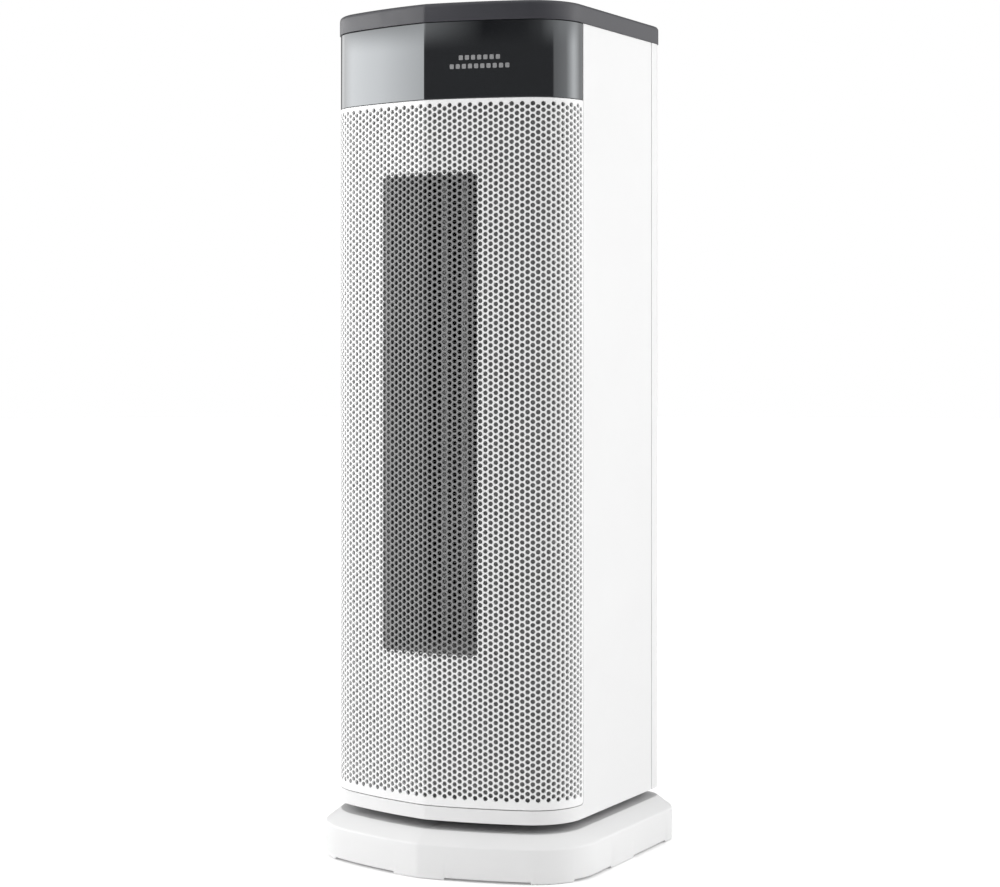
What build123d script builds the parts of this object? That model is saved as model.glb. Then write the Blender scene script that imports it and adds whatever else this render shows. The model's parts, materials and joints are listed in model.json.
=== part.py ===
from build123d import *
import math
import os

# Oscillating ceramic tower heater. Millimetres, +Z up, front towards -Y.
# Origin: centre of the base footprint, on the floor.

# --- driving dimensions: plan outline of the tower -------------------------------------------
HALF_WIDTH = 94.1
DEPTH = 190.0
CREASE_ANGLE = 6.5        # slope of the front at its centre crease, degrees
FACET_ANGLE = 20.0        # slope of the front where the corner radius begins, degrees
FRONT_CORNER = 38.0       # radius between front and side
REAR_CORNER = 16.0
GRILLE_EDGE_Y = -40.0     # where grille and display panel stop on each side
SEAM_Y = 71.6             # joint between front shell and rear cover
WALL = 2.5
FIT = 0.2                 # gap between neighbouring mouldings

# --- driving dimensions: heights ---------------------------------------------------------------
SKIRT_BOTTOM = 0.4
BASE_WALL_TOP = 23.3
BASE_TOP = 31.6
TOWER_BOTTOM = 38.0
GRILLE_BOTTOM = 48.0
PANEL_BOTTOM = 531.0
CAP_BOTTOM = 584.0
TOTAL_HEIGHT = 597.0

# --- base ----------------------------------------------------------------------------------------
BASE_MARGIN = 10.7        # how far the base stands out beyond the tower
BEVEL_INSET = 11.0
RELIEF_HEIGHT = 1.4       # shallow relief under the skirt, between its feet
RELIEF_INNER = 18.0
RELIEF_OUTER = 73.0
FLOOR_PLATE = (1.8, 4.0)
FOOT_AT = (76.0, 72.0)
FOOT_RADIUS = 9.0
BASE_SCREW_AT = (70.0, 40.0)

# --- turntable -------------------------------------------------------------------------------
HUB_RADIUS = 26.0
HUB_BORE = 20.0
HUB_GAP = 0.25
HUB_BOTTOM = 21.9
RACE_INNER = 56.0
RACE_OUTER = 68.0
RACE_SPLIT = 34.8
RACE_GAP = 0.3
GEAR_MODULE = 1.25
SWING_TEETH = 60
PINION_TEETH = 12
BACKLASH = 0.35
PRESSURE_ANGLE = 20.0
GEAR_BOTTOM = 22.2
GEAR_TOP = 27.4
RETAINER_SCREW_CIRCLE = 23.0
RETAINER_SCREW_ANGLES = (45, 135, 225, 315)
SWING_MOTOR_OFFSET = 5.0  # motor axis beyond its geared output shaft
SWING_MOTOR_RADIUS = 12.5
SWING_MOTOR_TOP = 20.4
SWING_MOTOR_EAR = 16.0    # screw distance from the motor axis

# --- outlet and heating element ----------------------------------------------------------------
OUTLET_HALF = 36.5
OUTLET_BOTTOM = 150.0
OUTLET_TOP = 481.0
BACKING_INSET = 5.0       # backing wall behind the grille
GRILLE_SHEET = 0.8
PANEL_THICKNESS = 2.4
PTC_FRONT_Y = -28.0
PTC_BACK_Y = -9.0
FIN_PITCH = 16.0
FIN_COLUMNS = 5
FIN_WIDTH = 12.8
FIN_WAVE = 3.0
FIN_SHEET = 0.4
STRIP_WIDTH = 2.9

# --- blower ----------------------------------------------------------------------------------------
BLOWER_Y = 32.0
WHEEL_RADIUS = 27.0
WHEEL_BOTTOM = 153.0
WHEEL_TOP = 477.0
BLADES = 28
SHAFT_RADIUS = 3.0
RUNNING_GAP = 0.06
HOUSING_BOTTOM = 146.5
HOUSING_TOP = 484.5
HOUSING_BACK_Y = 62.0
MOTOR_RADIUS = 27.0
MOTOR_Z = (96.0, 139.0)
MOUNT_SPACING = (33.0, 24.0)

# --- controls ---------------------------------------------------------------------------------------
BUTTON_NAMES = ("power", "mode", "swing", "timer", "level")
BUTTON_PITCH = 24.0
BUTTON_Y = -46.0
BUTTON_RADIUS = 6.7
BUTTON_TRAVEL = 1.2
BUTTON_BOARD_Z = 578.0
BUTTON_BOARD_HALF = (66.0, 18.0)
BOARD_POST_AT = (60.0, 12.0)
BOARD_THICKNESS = 1.6
DISPLAY_BOARD_HALF = 50.0
DISPLAY_BOARD_Y = -77.0
DISPLAY_BOARD_Z = (538.0, 578.0)
DIGITS_HALF = 25.0
DIGITS_Z = (548.0, 568.0)
RECEIVER_AT = (37.5, 558.0)
CONTROL_BOARD_HALF = 58.0
CONTROL_BOARD_Y = -60.4   # face that carries the parts
CONTROL_BOARD_Z = (56.0, 136.0)

# --- rear ----------------------------------------------------------------------------------------------
SLOT_HEIGHT = 3.2
SLOT_PITCH = 7.0
SLOT_ROWS = 45
SLOT_LENGTH = 56.0
SLOT_FIRST_Z = 160.0
SHELL_SCREW_X = 81.0
SHELL_SCREW_Z = (74.0, 311.0, 556.0)
HANDLE_HALF = 50.0
HANDLE_Z = (502.0, 534.0)
HANDLE_DEPTH = 24.5
SWITCH_CENTRE = (52.0, 84.0)
SWITCH_SIZE = (15.0, 21.0)
GLAND_CENTRE = (-60.0, 13.0)


# --- helpers ---------------------------------------------------------------------------------------
def block(low, high):
    """Box between two opposite corners."""
    size = [b - a for a, b in zip(low, high)]
    centre = [(a + b) / 2 for a, b in zip(low, high)]
    return Pos(*centre) * Box(*size)


def post(x, y, z0, z1, radius):
    """Vertical cylinder."""
    return Pos(x, y, (z0 + z1) / 2) * Cylinder(radius, z1 - z0)


def rod_y(x, z, y0, y1, radius):
    """Cylinder along Y."""
    return Pos(x, (y0 + y1) / 2, z) * Rot(90, 0, 0) * Cylinder(radius, y1 - y0)


def tube(x, y, z0, z1, outer, inner):
    """Vertical tube."""
    return post(x, y, z0, z1, outer) - post(x, y, z0 - 1, z1 + 1, inner)


def outline(offset=0.0):
    """Plan outline of the tower as a face, grown outwards by offset."""
    crease = math.radians(CREASE_ANGLE)
    facet = math.radians(FACET_ANGLE)
    facet_end_x = HALF_WIDTH - FRONT_CORNER * (1 - math.sin(facet))
    front_radius = facet_end_x / (math.sin(facet) - math.sin(crease))
    front_x = -front_radius * math.sin(crease)
    front_y = -DEPTH / 2 + front_radius * math.cos(crease)
    corner_x = HALF_WIDTH - FRONT_CORNER
    corner_y = front_y - (front_radius - FRONT_CORNER) * math.cos(facet)
    rear_x = HALF_WIDTH - REAR_CORNER
    rear_y = DEPTH / 2 - REAR_CORNER

    def on_arc(x, y, radius, angle):
        return (x + radius * math.sin(angle), y - radius * math.cos(angle))

    radius = front_radius + offset
    start = math.asin(-front_x / radius)
    right = math.pi / 2
    arcs = [
        [on_arc(front_x, front_y, radius, a) for a in (start, (start + facet) / 2, facet)],
        [on_arc(corner_x, corner_y, FRONT_CORNER + offset, a) for a in (facet, (facet + right) / 2, right)],
        [on_arc(rear_x, rear_y, REAR_CORNER + offset, a) for a in (right, 1.5 * right, 2 * right)],
    ]
    mirrored = [[(-x, y) for x, y in reversed(arc)] for arc in reversed(arcs)]
    loop = arcs + mirrored
    edges = []
    for arc, following in zip(loop, loop[1:] + loop[:1]):
        edges.append(ThreePointArc(*arc))
        if math.dist(arc[2], following[0]) > 1e-6:
            edges.append(Line(arc[2], following[0]))
    return Face(Wire(edges))


def corners(x, y):
    """The four points at plus and minus x and y."""
    return [(sx * x, sy * y) for sx in (-1, 1) for sy in (-1, 1)]


def slab(offset, z0, z1):
    """Tower outline, offset and extruded between two heights."""
    return extrude(Pos(0, 0, z0) * outline(offset), z1 - z0, dir=(0, 0, 1))


def band(outer, inner, z0, z1, y0=-200.0, y1=200.0):
    """Wall that follows the tower outline between two offsets, kept between two Y planes."""
    ring = slab(outer, z0, z1) - slab(inner, z0 - 1, z1 + 1)
    return ring & block((-200, y0, z0), (200, y1, z1))


def loft_between(offset0, z0, offset1, z1):
    """Tapered solid between two offsets of the outline."""
    return loft([Pos(0, 0, z0) * outline(offset0), Pos(0, 0, z1) * outline(offset1)], ruled=True)


def gear_face(teeth, module):
    """Involute gear outline, thinned for backlash, one tooth centred on +X."""
    pitch = teeth * module / 2
    pressure = math.radians(PRESSURE_ANGLE)
    base = pitch * math.cos(pressure)
    tip = pitch + module
    root = pitch - 1.25 * module
    foot = max(root, base)
    half_tooth = math.pi / (2 * teeth) - BACKLASH / (4 * pitch)
    at_pitch = math.tan(pressure) - pressure

    def flank(radius):
        angle = math.acos(min(1, base / radius))
        return half_tooth + at_pitch - (math.tan(angle) - angle)

    radii = [foot + (tip - foot) * i / 4 for i in range(5)]
    points = []
    for tooth in range(teeth):
        middle = 2 * math.pi * tooth / teeth
        rising = [(r, -flank(r)) for r in radii]
        if root < foot:
            rising.insert(0, (root, -flank(foot)))
        falling = [(r, -a) for r, a in reversed(rising)]
        for radius, angle in rising + falling:
            points.append((radius * math.cos(middle + angle), radius * math.sin(middle + angle)))
    return Face(Wire(Polyline(*points, close=True)))


def screws(places, axis_y=False, head=3.0, head_height=2.4, shank=1.4, length=12.0):
    """Pan-head screws, heads towards -Z or +Y, shank in the other direction."""
    group = []
    recess = extrude(RegularPolygon(radius=1.5, side_count=6), 1.2, dir=(0, 0, 1))
    for place in places:
        one = post(0, 0, 0, head_height, head) + post(0, 0, head_height, head_height + length, shank)
        one -= recess
        turn = Rot(90, 0, 0) if axis_y else Rot(0, 0, 0)
        group.append(Pos(*place) * turn * one)
    return Compound(children=group)


# --- base: the fixed part ----------------------------------------------------------------------
def base_shell():
    outer = slab(BASE_MARGIN, SKIRT_BOTTOM, BASE_WALL_TOP)
    outer += loft_between(BASE_MARGIN, BASE_WALL_TOP, BASE_MARGIN - BEVEL_INSET, BASE_TOP)
    inner = slab(BASE_MARGIN - WALL, 0, BASE_WALL_TOP - 1)
    bevel_end = BASE_MARGIN - BEVEL_INSET
    inner += loft_between(BASE_MARGIN - WALL, BASE_WALL_TOP - 1, bevel_end - WALL, BASE_TOP - WALL)
    shell = outer - inner
    shell -= post(0, 0, BASE_TOP - 9, BASE_TOP + 1, HUB_RADIUS + HUB_GAP)
    relief_top = SKIRT_BOTTOM + RELIEF_HEIGHT
    for side in (-1, 1):
        near, far = sorted((side * RELIEF_INNER, side * RELIEF_OUTER))
        shell -= block((near, -120, 0), (far, 120, relief_top))
        shell -= block((-120, near, 0), (120, far, relief_top))
    for x, y in corners(*BASE_SCREW_AT):
        shell += post(x, y, FLOOR_PLATE[1] + FIT, BASE_TOP - WALL + 0.5, 4.5)
        shell -= post(x, y, FLOOR_PLATE[1], FLOOR_PLATE[1] + 12, 1.45)
    x, z = GLAND_CENTRE
    wall_y = DEPTH / 2 + BASE_MARGIN
    shell += block((x - 12, wall_y - 6, SKIRT_BOTTOM + 2), (x + 12, wall_y - 1, BASE_WALL_TOP - 0.5))
    shell -= rod_y(x, z, wall_y - 2, wall_y + 1, 9.2)
    shell -= rod_y(x, z, wall_y - 10, wall_y + 1, 6.2)
    return shell


def base_plate():
    plate = slab(BASE_MARGIN - WALL - FIT, *FLOOR_PLATE)
    for x, y in corners(*BASE_SCREW_AT):
        plate -= post(x, y, 0, 9, 1.7)
        plate -= post(x, y, 0, 3.0, 3.3)
    for x, y in corners(*FOOT_AT):
        plate -= post(x, y, 0, 9, 3.2)
    gland_x = GLAND_CENTRE[0]
    return plate - block((gland_x - 12.5, 98, 0), (gland_x + 12.5, 120, 9))


def rubber_feet():
    feet = []
    for x, y in corners(*FOOT_AT):
        foot = post(x, y, 0, FLOOR_PLATE[0], FOOT_RADIUS) + post(x, y, 1, FLOOR_PLATE[1], 3.0)
        foot += post(x, y, FLOOR_PLATE[1], FLOOR_PLATE[1] + 1.2, 4.2)
        feet.append(foot)
    return Compound(children=feet)


def base_screws():
    return screws([(x, y, 0.6) for x, y in corners(*BASE_SCREW_AT)], length=10)


def cord_gland():
    x, z = GLAND_CENTRE
    wall_y = DEPTH / 2 + BASE_MARGIN
    gland = rod_y(x, z, wall_y - 1.9, wall_y, 8.9) + rod_y(x, z, wall_y - 9, wall_y - 1, 6.0)
    gland += rod_y(x, z, wall_y - 8.6, wall_y - 6.1, 8.0)
    return gland - rod_y(x, z, wall_y - 12, wall_y + 1, 3.6)


def lower_race():
    return tube(0, 0, BASE_TOP, RACE_SPLIT - RACE_GAP / 2, RACE_OUTER, RACE_INNER)


def pinion_axis():
    return (SWING_TEETH + PINION_TEETH) * GEAR_MODULE / 2 + 0.1


def swing_motor():
    x = pinion_axis() + SWING_MOTOR_OFFSET
    top = SWING_MOTOR_TOP
    motor = post(x, 0, FLOOR_PLATE[1], top, SWING_MOTOR_RADIUS)
    motor += block((x - 4, -SWING_MOTOR_EAR - 3, top - 1.5), (x + 4, SWING_MOTOR_EAR + 3, top - 0.3))
    motor += block((x + 8, -6, 6), (x + 15.5, 6, 16))
    for side in (-1, 1):
        motor -= post(x, side * SWING_MOTOR_EAR, 15, 25, 1.7)
    return motor - post(pinion_axis(), 0, 12, 30, 2.0)


def motor_posts():
    x = pinion_axis() + SWING_MOTOR_OFFSET
    top = SWING_MOTOR_TOP - 1.5
    ears = (-SWING_MOTOR_EAR, SWING_MOTOR_EAR)
    return Compound(children=[tube(x, y, FLOOR_PLATE[1], top, 3.2, 1.3) for y in ears])


def swing_pinion():
    x = pinion_axis()
    face = Rot(0, 0, 180 / PINION_TEETH) * gear_face(PINION_TEETH, GEAR_MODULE)
    gear = extrude(Pos(x, 0, GEAR_BOTTOM - 0.6) * face, GEAR_TOP - GEAR_BOTTOM + 1.2, dir=(0, 0, 1))
    return gear + post(x, 0, 13, GEAR_BOTTOM, 1.7)


# --- turntable parts on the tower --------------------------------------------------------------
def tower_floor():
    plate = slab(-WALL - FIT, TOWER_BOTTOM + 0.6, TOWER_BOTTOM + 3.4)
    plate += post(0, 0, HUB_BOTTOM, TOWER_BOTTOM + 1, HUB_RADIUS)
    return plate - post(0, 0, 0, 80, HUB_BORE)


def upper_race():
    return tube(0, 0, RACE_SPLIT + RACE_GAP / 2, TOWER_BOTTOM + 0.6, RACE_OUTER - 1, RACE_INNER + 1)


def swing_gear():
    face = Pos(0, 0, GEAR_BOTTOM) * gear_face(SWING_TEETH, GEAR_MODULE)
    ring = extrude(face, GEAR_TOP - GEAR_BOTTOM, dir=(0, 0, 1))
    return ring - post(0, 0, 0, 60, HUB_RADIUS + 0.05)


def hub_retainer():
    ring = tube(0, 0, HUB_BOTTOM - 2.4, HUB_BOTTOM - 0.1, 33.0, HUB_BORE)
    for angle in RETAINER_SCREW_ANGLES:
        ring -= Rot(0, 0, angle) * post(RETAINER_SCREW_CIRCLE, 0, 10, 30, 1.7)
    return ring


def hub_screws():
    spot = Pos(RETAINER_SCREW_CIRCLE, 0, HUB_BOTTOM - 4.9)
    places = [(Rot(0, 0, angle) * spot).position for angle in RETAINER_SCREW_ANGLES]
    return screws([tuple(p) for p in places], length=2.3, shank=1.4)


# --- tower casing ---------------------------------------------------------------------------------
def shell_bosses(y0, y1):
    """Screw bosses on both side walls, one pair at each screw height."""
    group = []
    for side in (-1, 1):
        for z in SHELL_SCREW_Z:
            near, far = sorted((side * (SHELL_SCREW_X - 5), side * (HALF_WIDTH - 1)))
            group.append(block((near, y0, z - 5), (far, y1, z + 5)))
    return group


def front_shell():
    top = CAP_BOTTOM - 0.1
    rib_y = GRILLE_EDGE_Y + WALL
    back = BACKING_INSET + WALL
    shell = band(0, -WALL, TOWER_BOTTOM, top, y0=GRILLE_EDGE_Y, y1=SEAM_Y)
    shell += band(0, -WALL, TOWER_BOTTOM, GRILLE_BOTTOM - FIT, y1=rib_y)
    shell += band(0, -back, GRILLE_BOTTOM - WALL, GRILLE_BOTTOM - FIT, y1=rib_y)
    shell += band(-BACKING_INSET, -back, GRILLE_BOTTOM - WALL, PANEL_BOTTOM, y1=rib_y)
    shell += band(-GRILLE_SHEET - FIT, -back, PANEL_BOTTOM - WALL, PANEL_BOTTOM, y1=rib_y)
    shell += band(-PANEL_THICKNESS - FIT, -PANEL_THICKNESS - FIT - WALL, PANEL_BOTTOM - WALL, top, y1=rib_y)
    shell += band(0, -back, GRILLE_BOTTOM - WALL, top, y0=GRILLE_EDGE_Y, y1=rib_y)
    mouth = OUTLET_HALF + 2 + FIT
    shell -= block((-mouth, -100, OUTLET_BOTTOM - 2 - FIT), (mouth, -50, OUTLET_TOP + 2 + FIT))
    shell -= block((-DIGITS_HALF - 2, -100, DIGITS_Z[0] - 2), (DIGITS_HALF + 2, -70, DIGITS_Z[1] + 2))
    for boss in shell_bosses(52, SEAM_Y):
        shell += boss
    for side in (-1, 1):
        for z in SHELL_SCREW_Z:
            shell -= rod_y(side * SHELL_SCREW_X, z, 56, SEAM_Y + 1, 1.45)
    return shell


def outlet_duct():
    """Duct from the backing wall to the heating element, with a flange behind the wall."""
    wide, deep = OUTLET_HALF + 2, PTC_FRONT_Y
    duct = block((-wide, -95, OUTLET_BOTTOM - 2), (wide, deep, OUTLET_TOP + 2))
    flange = block((-wide - 8, -95, OUTLET_BOTTOM - 10), (wide + 8, deep, OUTLET_TOP + 10))
    duct += flange & band(-BACKING_INSET - WALL - FIT, -BACKING_INSET - WALL - 2.2, 100, 520)
    duct &= slab(-BACKING_INSET, 100, 520)
    return duct - block((-OUTLET_HALF, -100, OUTLET_BOTTOM), (OUTLET_HALF, 0, OUTLET_TOP))


def front_grille():
    return band(0, -GRILLE_SHEET, GRILLE_BOTTOM, PANEL_BOTTOM - FIT, y1=GRILLE_EDGE_Y - FIT)


def display_panel():
    return band(0, -PANEL_THICKNESS, PANEL_BOTTOM, CAP_BOTTOM - FIT, y1=GRILLE_EDGE_Y - FIT)


def rear_cover():
    top = CAP_BOTTOM - 0.1
    wall_y = DEPTH / 2
    cover = band(0, -WALL, TOWER_BOTTOM, top, y0=SEAM_Y + FIT)
    for boss in shell_bosses(SEAM_Y + FIT, wall_y - 8):
        cover += boss
    for side in (-1, 1):
        for z in SHELL_SCREW_Z:
            x = side * SHELL_SCREW_X
            cover += rod_y(x, z, wall_y - 9, wall_y - 1.4, 4.6) & slab(-0.5, 0, 600)
            cover -= rod_y(x, z, SEAM_Y, wall_y, 1.7)
            cover -= rod_y(x, z, wall_y - 14, wall_y + 2, 3.4)
    half, low, high = intake_size()
    cover -= block((-half - FIT, 80, low - FIT), (half + FIT, 99, high + FIT))
    cover -= block((-HANDLE_HALF - FIT, 80, HANDLE_Z[0] - FIT), (HANDLE_HALF + FIT, 99, HANDLE_Z[1] + FIT))
    x, z = SWITCH_CENTRE
    half_x, half_z = SWITCH_SIZE[0] / 2 + FIT, SWITCH_SIZE[1] / 2 + FIT
    return cover - block((x - half_x, 80, z - half_z), (x + half_x, 99, z + half_z))


def intake_size():
    """Half width, bottom and top of the intake panel."""
    return SLOT_LENGTH + 7.0, SLOT_FIRST_Z - 6.0, SLOT_FIRST_Z + SLOT_ROWS * SLOT_PITCH + 2.0


def intake_grille():
    wall_y = DEPTH / 2
    half, low, high = intake_size()
    panel = block((-half, wall_y - WALL, low), (half, wall_y, high))
    slots = []
    for row in range(SLOT_ROWS):
        z = SLOT_FIRST_Z + row * SLOT_PITCH
        for side in (-1, 1):
            near, far = sorted((side * 3.0, side * (3.0 + SLOT_LENGTH)))
            slots.append(block((near, wall_y - WALL - 1, z), (far, wall_y + 1, z + SLOT_HEIGHT)))
    return panel - slots


def handle_cup():
    wall_y = DEPTH / 2
    cup = block((-HANDLE_HALF, wall_y - HANDLE_DEPTH, HANDLE_Z[0]), (HANDLE_HALF, wall_y, HANDLE_Z[1]))
    inside = block(
        (-HANDLE_HALF + 2, wall_y - HANDLE_DEPTH + 2, HANDLE_Z[0] + 2),
        (HANDLE_HALF - 2, wall_y + 1, HANDLE_Z[1] - 2),
    )
    return fillet(cup.edges().filter_by(Axis.Y), 1.0) - fillet(inside.edges().filter_by(Axis.Y), 5.0)


def dust_filter():
    y = DEPTH / 2 - WALL - 3.4
    half, low, high = intake_size()
    low, high = low - 3, high + 3
    frame = block((-half - 3, y, low), (half + 3, y + 3.2, high))
    frame -= block((-half + 2, y + 0.8, low + 5), (half - 2, y + 9, high - 5))
    return frame + block((-2, y, low), (2, y + 3.2, high))


def top_cap():
    cap = slab(0.7, CAP_BOTTOM, TOTAL_HEIGHT)
    cap = fillet(cap.faces().sort_by(Axis.Z)[-1].edges(), 2.9)
    cap -= slab(0.7 - WALL, CAP_BOTTOM - 1, TOTAL_HEIGHT - WALL)
    for x in button_columns():
        cap -= post(x, BUTTON_Y, TOTAL_HEIGHT - 5, TOTAL_HEIGHT + 1, BUTTON_RADIUS + 0.3)
    for x, y in board_posts():
        cap += post(x, y, BUTTON_BOARD_Z + BOARD_THICKNESS, TOTAL_HEIGHT - WALL + 0.2, 3.2)
        cap -= post(x, y, BUTTON_BOARD_Z, BUTTON_BOARD_Z + 10, 1.25)
    return cap


# --- controls ----------------------------------------------------------------------------------------
def button_columns():
    middle = (len(BUTTON_NAMES) - 1) / 2
    return [(i - middle) * BUTTON_PITCH for i in range(len(BUTTON_NAMES))]


def board_posts():
    return [(x, BUTTON_Y + y) for x, y in corners(*BOARD_POST_AT)]


def push_button(x):
    top = TOTAL_HEIGHT - 0.2
    button = post(x, BUTTON_Y, top - 5, top, BUTTON_RADIUS)
    button = fillet(button.edges().sort_by(Axis.Z)[-1], 0.8)
    button += post(x, BUTTON_Y, top - 5, TOTAL_HEIGHT - WALL - 0.3, BUTTON_RADIUS + 1.5)
    return button + post(x, BUTTON_Y, BUTTON_BOARD_Z + BOARD_THICKNESS + 5.3, top - 4, 2.5)


def button_board():
    half_x, half_y = BUTTON_BOARD_HALF
    top = BUTTON_BOARD_Z + BOARD_THICKNESS
    board = block((-half_x, BUTTON_Y - half_y, BUTTON_BOARD_Z), (half_x, BUTTON_Y + half_y, top))
    for x, y in board_posts():
        board -= post(x, y, BUTTON_BOARD_Z - 1, BUTTON_BOARD_Z + 3, 1.6)
    return board


def board_screws():
    places = [(x, y, BUTTON_BOARD_Z - 1.8) for x, y in board_posts()]
    return screws(places, head=2.6, head_height=1.8, shank=1.2, length=8)


def button_switches():
    z = BUTTON_BOARD_Z + BOARD_THICKNESS
    group = []
    for x in button_columns():
        body = block((x - 3, BUTTON_Y - 3, z), (x + 3, BUTTON_Y + 3, z + 3.1))
        group.append(body + post(x, BUTTON_Y, z + 3, z + 3.9, 1.7))
    return Compound(children=group)


def display_board():
    half, y = DISPLAY_BOARD_HALF, DISPLAY_BOARD_Y
    low, high = DISPLAY_BOARD_Z
    board = block((-half, y, low), (half, y + BOARD_THICKNESS, high))
    for x in (6 - half, half - 6):
        board -= rod_y(x, low + 4, y - 3, y + 7, 1.7)
    return board


def digit_display():
    y = DISPLAY_BOARD_Y
    return block((-DIGITS_HALF, y - 8, DIGITS_Z[0]), (DIGITS_HALF, y, DIGITS_Z[1]))


def remote_receiver():
    x, z = RECEIVER_AT
    y = DISPLAY_BOARD_Y
    return block((x - 3.5, y - 3.5, z - 4), (x + 3.5, y, z + 4)) + Pos(x, y - 3.5, z) * Sphere(2.4)


def switch_housing():
    x, z = SWITCH_CENTRE
    wall_y = DEPTH / 2
    half_x, half_z = SWITCH_SIZE[0] / 2, SWITCH_SIZE[1] / 2
    body = block((x - half_x, wall_y - 16, z - half_z), (x + half_x, wall_y, z + half_z))
    rim_x, rim_z = half_x + 1.6, half_z + 1.6
    body += block((x - rim_x, wall_y, z - rim_z), (x + rim_x, wall_y + 1.6, z + rim_z))
    well_x, well_z = half_x - 1.2, half_z - 1.2
    body -= block((x - well_x, wall_y - 12, z - well_z), (x + well_x, wall_y + 9, z + well_z))
    for dz in (-6, 6):
        body += block((x - 2.4, wall_y - 24, z + dz - 0.4), (x + 2.4, wall_y - 15, z + dz + 0.4))
    return body


def rocker():
    x, z = SWITCH_CENTRE
    wall_y = DEPTH / 2
    half = SWITCH_SIZE[0] / 2 - 1.5
    drum = Pos(x, wall_y - 1.5, z) * Rot(0, 90, 0) * Cylinder(8.8, 2 * half)
    paddle = drum & block((x - 20, wall_y - 4, z - 20), (x + 20, wall_y + 20, z + 20))
    dish = Pos(x, wall_y + 22.5, z) * Rot(0, 90, 0) * Cylinder(19.0, 40)
    return paddle - dish


# --- heating element ---------------------------------------------------------------------------
def ptc_frame():
    half = FIN_COLUMNS * FIN_PITCH / 2 - 1.3
    low, high = OUTLET_BOTTOM - 2.2, OUTLET_TOP + 2.2
    frame = block((-half - 4.5, PTC_FRONT_Y, low - 4.5), (half + 4.5, PTC_BACK_Y, high + 4.5))
    return frame - block((-half, -60, low), (half, 0, high))


def fin_ribbon(x):
    """One folded fin column: a serpentine sheet between two heating strips."""
    folds = int((OUTLET_TOP - OUTLET_BOTTOM + 3) / FIN_WAVE)
    left, right = x - FIN_WIDTH / 2, x + FIN_WIDTH / 2
    bottom = OUTLET_BOTTOM - 1.6
    under = [(left, bottom)]
    over = [(left, bottom + FIN_SHEET)]
    for fold in range(folds):
        low = bottom + fold * FIN_WAVE
        middle = low + FIN_WAVE / 2
        high = low + FIN_WAVE
        under += [(right, low), (right, middle + FIN_SHEET)]
        under += [(left + FIN_SHEET, middle + FIN_SHEET), (left + FIN_SHEET, high)]
        over += [(right - FIN_SHEET, low + FIN_SHEET), (right - FIN_SHEET, middle)]
        over += [(left, middle), (left, high + FIN_SHEET)]
    loop = [(px, PTC_FRONT_Y + 2.0, pz) for px, pz in under + over[::-1]]
    return extrude(Face(Wire(Polyline(*loop, close=True))), 15.0, dir=(0, 1, 0))


def ptc_fins():
    middle = (FIN_COLUMNS - 1) / 2
    return Compound(children=[fin_ribbon((i - middle) * FIN_PITCH) for i in range(FIN_COLUMNS)])


def strip_columns():
    middle = (FIN_COLUMNS - 2) / 2
    return [(i - middle) * FIN_PITCH for i in range(FIN_COLUMNS - 1)]


def ptc_strips():
    half = STRIP_WIDTH / 2
    low, high = OUTLET_BOTTOM - 2, OUTLET_TOP + 2
    columns = strip_columns()
    return Compound(children=[block((x - half, -26.5, low), (x + half, -10.5, high)) for x in columns])


def ptc_terminals():
    top = OUTLET_TOP + 2.2 + 4.5
    group = []
    for x in strip_columns():
        tab = block((x - 3.2, -19, top), (x + 3.2, -18.2, top + 12))
        group.append(tab - rod_y(x, top + 9, -22, -15, 1.2))
    return Compound(children=group)


def thermal_cutout():
    z = OUTLET_BOTTOM - 6.7
    body = post(20, -18.5, z - 8, z - 1.2, 8) + block((8, -22, z - 1.2), (32, -15, z))
    return body + block((16, -19, z - 16), (18, -18, z - 8)) + block((22, -19, z - 16), (24, -18, z - 8))


# --- blower --------------------------------------------------------------------------------------------
def blower_wheel():
    length = WHEEL_TOP - WHEEL_BOTTOM
    blade_outer, blade_inner = WHEEL_RADIUS - 0.2, WHEEL_RADIUS - 8.0
    arc = ThreePointArc((blade_inner, 0), (WHEEL_RADIUS - 4.4, 1.7), (blade_outer, 5.0))
    blade_edge = offset(arc, 0.5, side=Side.LEFT)
    blade = extrude(Face(blade_edge.wire()), length, dir=(0, 0, 1))
    blades = [Rot(0, 0, 360 * i / BLADES) * blade for i in range(BLADES)]
    discs = [post(0, 0, z, z + 2.0, WHEEL_RADIUS) for z in (0, length / 2, length - 2)]
    wheel = discs[0].fuse(*discs[1:], *blades)
    wheel -= post(0, 0, -1, WHEEL_TOP, SHAFT_RADIUS)
    return Pos(0, BLOWER_Y, WHEEL_BOTTOM) * wheel


def blower_shaft():
    return post(0, BLOWER_Y, MOTOR_Z[0] + 6, HOUSING_TOP + 7, SHAFT_RADIUS)


def blower_housing():
    low, high = HOUSING_BOTTOM, HOUSING_TOP
    y0, y1 = PTC_BACK_Y + 0.2, HOUSING_BACK_Y
    cheek = [(38.7, y0), (41.0, y0), (41.0, 4.0), (32.5, 24.0)]
    cheek += [(32.5, y1), (30.2, y1), (30.2, 23.0), (38.7, 3.0)]
    housing = block((-41, y0, low), (41, y1, low + WALL)) + block((-41, y0, high - WALL), (41, y1, high))
    for side in (-1, 1):
        points = [(side * x, y, low) for x, y in cheek]
        housing += extrude(Face(Wire(Polyline(*points, close=True))), high - low, dir=(0, 0, 1))
    return housing - post(0, BLOWER_Y, 0, 600, 6.0)


def upper_bush():
    bore = SHAFT_RADIUS + RUNNING_GAP
    sleeve = tube(0, BLOWER_Y, HOUSING_TOP - WALL, HOUSING_TOP + 6, 5.9, bore)
    return sleeve + tube(0, BLOWER_Y, HOUSING_TOP, HOUSING_TOP + 2, 10.0, bore)


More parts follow.
